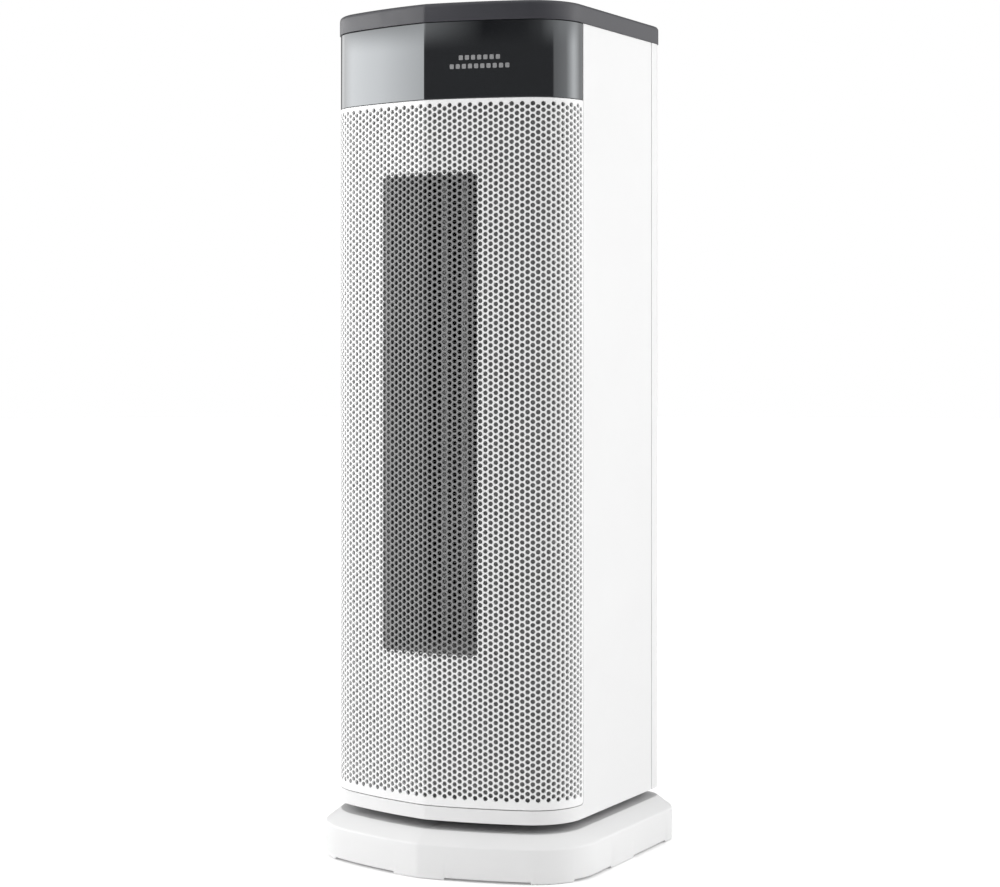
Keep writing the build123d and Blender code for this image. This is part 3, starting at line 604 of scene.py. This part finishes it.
def make_grille():
    """Sheet wrapped round the front with staggered round holes, and the dark mesh of its outlet window."""
    low, high = GRILLE_LOW.z, GRILLE_HIGH.z
    rim_low, rim_high = low + GRILLE_RIM["bottom"], high - GRILLE_RIM["top"]
    reach = GRILLE_EDGE - GRILLE_RIM["side"]
    half_columns = int(reach / HOLE_STEP - 2 / 3)
    step = reach / (half_columns + 2 / 3)
    rows = int((rim_high - rim_low) / HOLE_PITCH - 0.5)
    pitch = (rim_high - rim_low) / (rows + 0.5)
    columns = range(-half_columns, half_columns + 1)
    hexagon = [(2 / 3, 0), (1 / 3, 0.5), (-1 / 3, 0.5), (-2 / 3, 0), (-1 / 3, -0.5), (1 / 3, -0.5)]
    sheets = {False: Sheet(0.0, -GRILLE_SHEET), True: Sheet(0.0, -GRILLE_SHEET)}

    def corners(column, row):
        s = column * step
        z = rim_low + (row + 0.5) * pitch + (pitch / 2 if column % 2 else 0)
        return (s, z), [(s + a * step, z + b * pitch) for a, b in hexagon]

    per_corner = HOLE_SIDES // 6
    turns = [2 * math.pi * k / HOLE_SIDES for k in range(HOLE_SIDES + 1)]
    for column in columns:
        for row in range(rows):
            (s, z), rim = corners(column, row)
            ring = [(s + HOLE_RADIUS * math.cos(t), z + HOLE_RADIUS * math.sin(t)) for t in turns]
            dark = abs(s) < OUTLET_HALF + 0.3 * step and OUTLET_Z[0] < z < OUTLET_Z[1]
            for k in range(6):
                arc = ring[k * per_corner:(k + 1) * per_corner + 1]
                sheets[dark].add([rim[k], rim[(k + 1) % 6], *arc[::-1]])

    def border(path, project):
        """Strip between a zigzag path and its projection on a straight edge."""
        for a, b in zip(path, path[1:]):
            if math.dist(a, b) > 1e-7:
                sheets[False].add([a, b, project(b), project(a)])

    border([corners(c, rows - 1)[1][k] for c in columns for k in (2, 1)], lambda p: (p[0], high))
    border([corners(c, 0)[1][k] for c in columns for k in (4, 5)], lambda p: (p[0], low))
    for side in (-1, 1):
        order = (4, 3, 2) if side < 0 else (5, 0, 1)
        path = [corners(side * half_columns, r)[1][k] for r in range(rows) for k in order]
        edge = side * GRILLE_EDGE
        border(path, lambda p: (edge, p[1]))
        inner, outer = path[0][0], edge
        sheets[False].add([path[-1], (inner, high), (outer, high), (outer, path[-1][1])])
        turn_s, turn_z = outer - side * GRILLE_CORNER, low + GRILLE_CORNER
        bend = quarter((outer, turn_z), (turn_s, low), (turn_s, turn_z))
        sheets[False].add([path[0], (outer, path[0][1]), *bend, (inner, low)])
    sheets[False].build("perforated_grille", "grille_metal", replaces=["front_grille"])
    sheets[True].build("outlet_mesh", "grille_metal", replaces=["front_grille"], surface="outlet_mesh")


def make_display():
    """Gloss black band above the grille, wrapped round the front with eased edges."""
    low, high = GRILLE_HIGH.z + 0.15 * MM, PANEL_HIGH.z
    back = -PANEL_THICKNESS
    outer_round, inner_round = 0.5 * MM, 0.3 * MM
    outer = [(0, low, outer_round), (0, high, outer_round)]
    section = rounded([*outer, (back, high, inner_round), (back, low, inner_round)])
    ends = (-GRILLE_EDGE, GRILLE_EDGE)
    return swept_strip("display_glass", section, *ends, "display_gloss", replaces=["display_panel"])


def make_marks():
    """Two rows of plain pale blocks printed on the display."""
    for row, (z, count) in enumerate(MARK_ROWS):
        blocks = Sheet(0.06 * MM, -0.2 * MM)
        for index in range(count):
            s = MARK_CENTRE_S + (index - (count - 1) / 2) * MARK_PITCH - MARK_SIZE[0] / 2
            box = (s, s + MARK_SIZE[0], z - MARK_SIZE[1] / 2, z + MARK_SIZE[1] / 2)
            blocks.add(rounded_box(*box, 0.6 * MM))
        blocks.build(f"panel_marks_{row + 1}", "display_gloss", surface="pale_print")


def rounded_box(s0, s1, z0, z1, radius):
    """Outline of a rounded rectangle in (s, z)."""
    r = radius
    points = quarter((s0, z0 + r), (s0 + r, z0), (s0 + r, z0 + r), 3)
    points += quarter((s1 - r, z0), (s1, z0 + r), (s1 - r, z0 + r), 3)
    points += quarter((s1, z1 - r), (s1 - r, z1), (s1 - r, z1 - r), 3)
    return points + quarter((s0 + r, z1), (s0, z1 - r), (s0 + r, z1 - r), 3)


def make_rear_casing():
    """Rear cover with rounded openings for the intake, the handle and the switch, and screw recesses."""
    start = plan.side_distance(SHELL_HIGH.y + REAR_SEAM)
    end = 2 * plan.length - start
    low, high = REAR_LOW.z, REAR_HIGH.z
    gap = 0.3 * MM
    back = plan.back_distance

    def around_box(low_corner, high_corner, margin, radius):
        """Opening round a box, larger than it by a margin."""
        near, far = back(high_corner.x + margin), back(low_corner.x - margin)
        return near, far, low_corner.z - margin, high_corner.z + margin, radius

    holes = [
        around_box(INTAKE_LOW, INTAKE_HIGH, gap, 4 * MM),
        around_box(HANDLE_LOW, HANDLE_HIGH, gap, 1.2 * MM),
        around_box(SWITCH_LOW, SWITCH_HIGH, -1.6 * MM, 1 * MM),
    ]
    tests = [opening(*hole) for hole in holes]
    s_lines = [line for hole in holes for line in opening_lines(*hole)[0]]
    z_lines = [line for hole in holes for line in opening_lines(*hole)[1]]

    def keep(s, z):
        answers = [test(s, z) for test in tests]
        return next((answer for answer in answers if answer is not True), True)

    sheet = Sheet(0.0, -WALL)
    sheet.add_cells(stations(start, end, s_lines), sorted([low, *z_lines, high]), keep)
    casing = sheet.build("rear_casing", "white_shell", replaces=["rear_cover"])
    for x in (-SHELL_SCREW_X, SHELL_SCREW_X):
        for z in SHELL_SCREW_Z:
            ends = ((x, BACK_Y - 9 * MM, z), (x, BACK_Y + 5 * MM, z))
            cut(casing, [(end, SCREW_RECESS) for end in ends])
    soften(casing, 0.3 * MM)
    return casing


def make_intake():
    """Flat intake panel with two columns of slots that have rounded ends."""
    back = plan.back_distance
    first = INTAKE_LOW.z + SLOT_FIRST
    end_round = SLOT_HEIGHT / 2
    columns = []
    for side in (-1, 1):
        near, far = sorted((side * SLOT_GAP, side * (SLOT_GAP + SLOT_LENGTH)))
        columns.append((back(far), back(near)))
    s_lines = [back(INTAKE_HIGH.x), back(INTAKE_LOW.x)]
    for s0, s1 in columns:
        s_lines += [s0, s0 + end_round, s1 - end_round, s1]
    z_lines = [INTAKE_LOW.z, INTAKE_HIGH.z]
    for row in range(SLOT_ROWS):
        z_lines += [first + row * SLOT_PITCH + k * end_round for k in range(3)]

    def keep(s, z):
        row, height = divmod(z - first, SLOT_PITCH)
        if not (0 <= row < SLOT_ROWS and height < SLOT_HEIGHT):
            return True
        level = "low" if height < end_round else "high"
        for s0, s1 in columns:
            if s0 < s < s0 + end_round:
                return f"{level}_near"
            if s1 - end_round < s < s1:
                return f"{level}_far"
            if s0 < s < s1:
                return False
        return True

    sheet = Sheet(0.0, -WALL)
    sheet.add_cells(sorted(s_lines), sorted(z_lines), keep)
    return sheet.build("intake_louvre", "white_shell", replaces=["intake_grille"], soft=0.35 * MM)


def closed_stations(extra=()):
    """Distances once round the whole outline."""
    values = stations(-plan.length, plan.length, extra)
    return values[:-1]


def mitred(s, offset):
    """Point of the outline moved by an offset. Points that would cross at the front crease meet there."""
    x, y = plan.at(s, offset)
    if abs(s) < FRONT_CORNER and x * s <= 0:
        return 0.0, y + abs(x) * math.tan(CREASE_ANGLE)
    return x, y


def make_cap():
    """Cap with a rounded upper edge and chamfered button holes."""
    section = rounded(
        [
            (CAP_MARGIN - WALL, CAP_RIM_Z, 0.3 * MM),
            (CAP_MARGIN, CAP_RIM_Z, 0.4 * MM),
            (CAP_MARGIN, CAP_HIGH.z, CAP_EDGE),
            (-TOP_LIP, CAP_HIGH.z, 0),
            (-TOP_LIP, CAP_HIGH.z - WALL, 0),
            (CAP_MARGIN - WALL, CAP_HIGH.z - WALL, 1.0 * MM),
        ],
        7,
    )
    split = next(i for i, p in enumerate(section) if abs(p[0] + TOP_LIP) < 1e-9)
    section = section[split + 1:] + section[:split + 1]
    spots = closed_stations()
    rings = [[(*mitred(s, offset), height) for s in spots] for offset, height in section]
    faces = bridge(rings, False, True)
    count = len(spots)
    faces.append(tuple(range(count)))
    faces.append(tuple((len(rings) - 1) * count + i for i in range(count)))
    cap = piece("cap_shell", [v for r in rings for v in r], faces, "charcoal_cap", replaces=["top_cap"])
    for name in BUTTONS:
        low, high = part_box(name)
        x, y = (low.x + high.x) / 2, (low.y + high.y) / 2
        top = high.z
        wide = BUTTON_HOLE + BUTTON_CHAMFER
        straight = [((x, y, top - 8 * MM), BUTTON_HOLE), ((x, y, top - 0.5 * MM), BUTTON_HOLE)]
        flare = [((x, y, top + 0.3 * MM), wide), ((x, y, top + 3 * MM), wide)]
        cut(cap, straight + flare)
    smooth(cap)
    return cap


def cut(obj, profile, sides=48):
    """Cuts a turned shape out of a piece. The profile lists (centre, radius) along one axis."""
    first, last = Vector(profile[0][0]), Vector(profile[-1][0])
    turn = (last - first).to_track_quat("Z", "Y")
    rings = []
    for centre, radius in profile:
        angles = [2 * math.pi * k / sides for k in range(sides)]
        spots = [turn @ Vector((radius * math.cos(a), radius * math.sin(a), 0)) for a in angles]
        rings.append([tuple(Vector(centre) + spot) for spot in spots])
    faces = bridge(rings, False, True)
    faces.append(tuple(range(sides)))
    faces.append(tuple(reversed(range(sides * (len(rings) - 1), sides * len(rings)))))
    mesh = bpy.data.meshes.new("cutter")
    mesh.from_pydata([v for r in rings for v in r], [], faces)
    mesh.update()
    work = bmesh.new()
    work.from_mesh(mesh)
    bmesh.ops.recalc_face_normals(work, faces=work.faces)
    work.to_mesh(mesh)
    work.free()
    cutter = bpy.data.objects.new("cutter", mesh)
    bpy.context.scene.collection.objects.link(cutter)
    boolean = obj.modifiers.new("hole", "BOOLEAN")
    boolean.operation = "DIFFERENCE"
    boolean.solver = "EXACT"
    boolean.object = cutter
    apply_modifiers(obj)
    bpy.data.objects.remove(cutter)
    bpy.data.meshes.remove(mesh)


def apply_modifiers(obj):
    """Replaces the mesh by its evaluated result."""
    graph = bpy.context.evaluated_depsgraph_get()
    graph.update()
    result = bpy.data.meshes.new_from_object(obj.evaluated_get(graph))
    old = obj.data
    obj.modifiers.clear()
    obj.data = result
    result.name = obj.name
    bpy.data.meshes.remove(old)


def in_relief(s):
    """True where the skirt of the base is cut back from the floor."""
    x, y = plan.at(s)
    along_front = abs(y) > abs(x) or y < -60 * MM
    place = abs(x) if along_front else abs(y)
    return RELIEF_INNER < place < RELIEF_OUTER


def relief_marks():
    """Distances just before and after each end of the skirt relief."""
    marks = []
    values = [plan.length * i / 4000 for i in range(4001)]
    for low, high in zip(values, values[1:]):
        if in_relief(low) != in_relief(high):
            marks += [low - 0.2 * MM, high + 0.2 * MM]
    return marks + [-m for m in marks]


def make_base():
    """Base with a bevelled top, a round hole at the hub and a skirt cut back between its feet."""
    low, top = BASE_LOW.z, BASE_HIGH.z
    inset = BASE_MARGIN - BEVEL_INSET
    inner = BASE_MARGIN - WALL
    outer = rounded(
        [
            (inner, low, 0.3 * MM),
            (BASE_MARGIN, low, 0.5 * MM),
            (BASE_MARGIN, BASE_WALL_TOP, 2.2 * MM),
            (inset, top, 1.6 * MM),
            (-TOP_LIP, top, 0),
            (-TOP_LIP, top - WALL, 0),
            (inset - WALL, top - WALL, 0),
            (inner, BASE_WALL_TOP - 1 * MM, 0),
        ]
    )
    split = next(i for i, p in enumerate(outer) if abs(p[0] + TOP_LIP) < 1e-9)
    section = outer[split + 1:] + outer[:split + 1]
    spots = closed_stations(relief_marks())
    lift = [RELIEF if in_relief(s) else 0.0 for s in spots]
    rings = []
    for offset, height in section:
        share = 1 if height < low + 1 * MM else 0
        rings.append([(*plan.at(s, offset), height + share * rise) for s, rise in zip(spots, lift)])
    for height in (top, top - WALL):
        ring = []
        for s in spots:
            x, y = plan.at(s)
            reach = math.hypot(x, y)
            ring.append((x / reach * HUB_HOLE, y / reach * HUB_HOLE, height))
        rings.append(ring)
    faces = bridge(rings, True, True)
    verts = [v for r in rings for v in r]
    return piece("base_casing", verts, faces, "white_shell", replaces=["base_shell"], body="base")


# --- stage ----------------------------------------------------------------------------------------
def make_world():
    """Light from all round, in a low band, an upper band and a ceiling. The camera sees plain white."""
    world = bpy.data.worlds.new("studio")
    bpy.context.scene.world = world
    world.use_nodes = True
    nodes, links = world.node_tree.nodes, world.node_tree.links
    nodes.clear()

    def math_node(operation, a, b=None, c=None):
        node = nodes.new("ShaderNodeMath")
        node.operation = operation
        for socket, value in zip(node.inputs, (a, b, c)):
            if value is None:
                continue
            if isinstance(value, (int, float)):
                socket.default_value = value
            else:
                links.new(value, socket)
        return node.outputs[0]

    direction = nodes.new("ShaderNodeTexCoord").outputs["Generated"]
    split = nodes.new("ShaderNodeSeparateXYZ")
    links.new(direction, split.inputs[0])
    azimuth = math_node("ARCTAN2", split.outputs["X"], math_node("MULTIPLY", split.outputs["Y"], -1))
    place = math_node("MULTIPLY_ADD", azimuth, 1 / (2 * math.pi), 0.5)

    def around(levels):
        """Brightness by azimuth."""
        ramp = nodes.new("ShaderNodeValToRGB")
        brightest = max(level for _, level in levels)
        stops = ramp.color_ramp.elements
        while len(stops) < len(levels):
            stops.new(0.5)
        for stop, (degrees, level) in zip(stops, levels):
            stop.position = (degrees + 180) / 360
            stop.color = (level / brightest,) * 3 + (1,)
        links.new(place, ramp.inputs["Fac"])
        return math_node("MULTIPLY", ramp.outputs["Color"], brightest)

    def fade(edge, start, end):
        """Smooth change from start to end as the elevation crosses an edge."""
        node = nodes.new("ShaderNodeMapRange")
        node.interpolation_type = "SMOOTHSTEP"
        for socket, value in zip(("From Min", "From Max", "To Min", "To Max"), (*edge, start, end)):
            node.inputs[socket].default_value = value
        links.new(split.outputs["Z"], node.inputs["Value"])
        return node.outputs["Result"]

    low = math_node("MULTIPLY", around(LOW_BAND), fade(LOW_EDGE, 1, 0))
    upper = math_node("MULTIPLY", around(UPPER_BAND), fade(LOW_EDGE, 0, 1))
    upper = math_node("MULTIPLY", upper, fade(HIGH_EDGE, 1, 0))
    level = math_node("ADD", math_node("ADD", low, upper), fade(HIGH_EDGE, 0, CEILING))
    seen = nodes.new("ShaderNodeLightPath").outputs["Is Camera Ray"]
    unseen = math_node("MULTIPLY", level, math_node("SUBTRACT", 1, seen))
    background = nodes.new("ShaderNodeBackground")
    background.inputs["Color"].default_value = (1, 1, 1, 1)
    links.new(math_node("ADD", unseen, seen), background.inputs["Strength"])
    output = nodes.new("ShaderNodeOutputWorld")
    links.new(background.outputs[0], output.inputs["Surface"])


def make_stage():
    """Plain white floor and the camera."""
    floor_mesh = bpy.data.meshes.new("floor")
    reach, sides = FLOOR_REACH, 64
    turns = [2 * math.pi * k / sides for k in range(sides)]
    ring = [(reach * math.cos(turn), reach * math.sin(turn), 0) for turn in turns]
    floor_mesh.from_pydata(ring, [], [tuple(range(sides))])
    floor = bpy.data.objects.new("floor", floor_mesh)
    bpy.context.scene.collection.objects.link(floor)
    paper = Surface("floor_paper", (0.93, 0.93, 0.93), 0.9, grain=60, bump=0.0, vary=0.002)
    paper.set(Specular_IOR_Level=0.0, Emission_Color=(1, 1, 1, 1))
    seen = paper.nodes.new("ShaderNodeLightPath").outputs["Is Camera Ray"]
    paper.links.new(paper.range(seen, 0.0, FLOOR_LIFT, 0.0, 1.0), paper.shader.inputs["Emission Strength"])
    floor_mesh.materials.append(paper.material)
    camera_data = bpy.data.cameras.new("camera")
    camera = bpy.data.objects.new("camera", camera_data)
    bpy.context.scene.collection.objects.link(camera)
    camera.location = CAMERA_AT
    camera.rotation_euler = (math.pi / 2, 0, CAMERA_TURN)
    camera_data.lens = CAMERA_LENS
    camera_data.sensor_width = 36
    camera_data.shift_y = CAMERA_SHIFT_Y
    bpy.context.scene.camera = camera
    bpy.context.scene.view_settings.view_transform = "Standard"


make_stage()
make_world()
dress_cad_nodes()
make_casing()
make_backing()
make_sill()
make_grille()
make_display()
make_marks()
make_rear_casing()
make_intake()
make_cap()
make_base()
